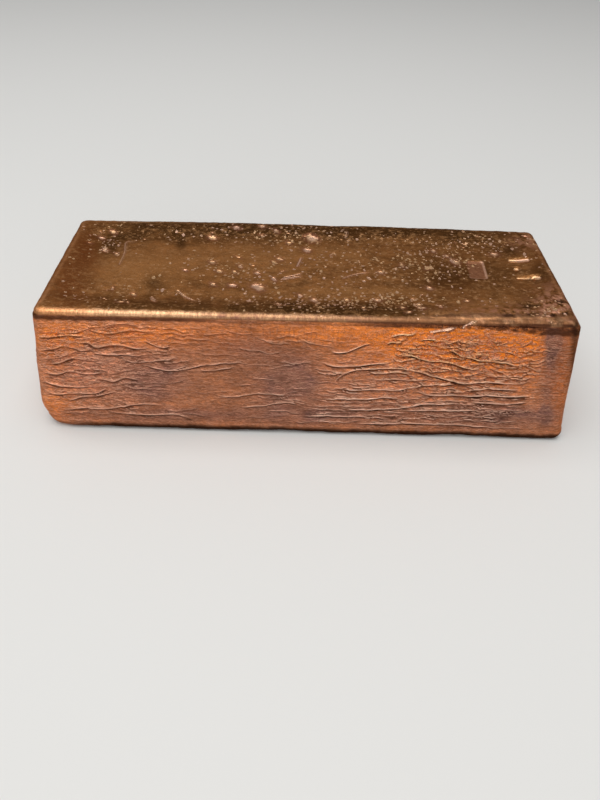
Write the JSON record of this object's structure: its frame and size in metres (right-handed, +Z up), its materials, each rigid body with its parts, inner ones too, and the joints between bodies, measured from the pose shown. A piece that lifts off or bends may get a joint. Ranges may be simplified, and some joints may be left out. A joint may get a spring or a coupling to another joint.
{
  "type": "copper ingot",
  "caption": "Hand-poured copper ingot: a solid bar with drafted, wrinkled sides, a shallow dished face inside a rounded rim, and a blank punch mark near one end.",
  "frame": {"origin": "centre of the bar's footprint, on the level of the face it lies on", "axes": "+X along the bar towards the end with the punch mark, +Y across it towards the bowed back side, +Z up"},
  "size_m": [0.1422, 0.0563, 0.036],
  "materials": {
    "copper": "as-cast copper: brown oxide on the upper face, orange metal with violet heat tint on the sides"
  },
  "bodies": {
    "root": {"ingot": "copper"}
  },
  "joints": []
}
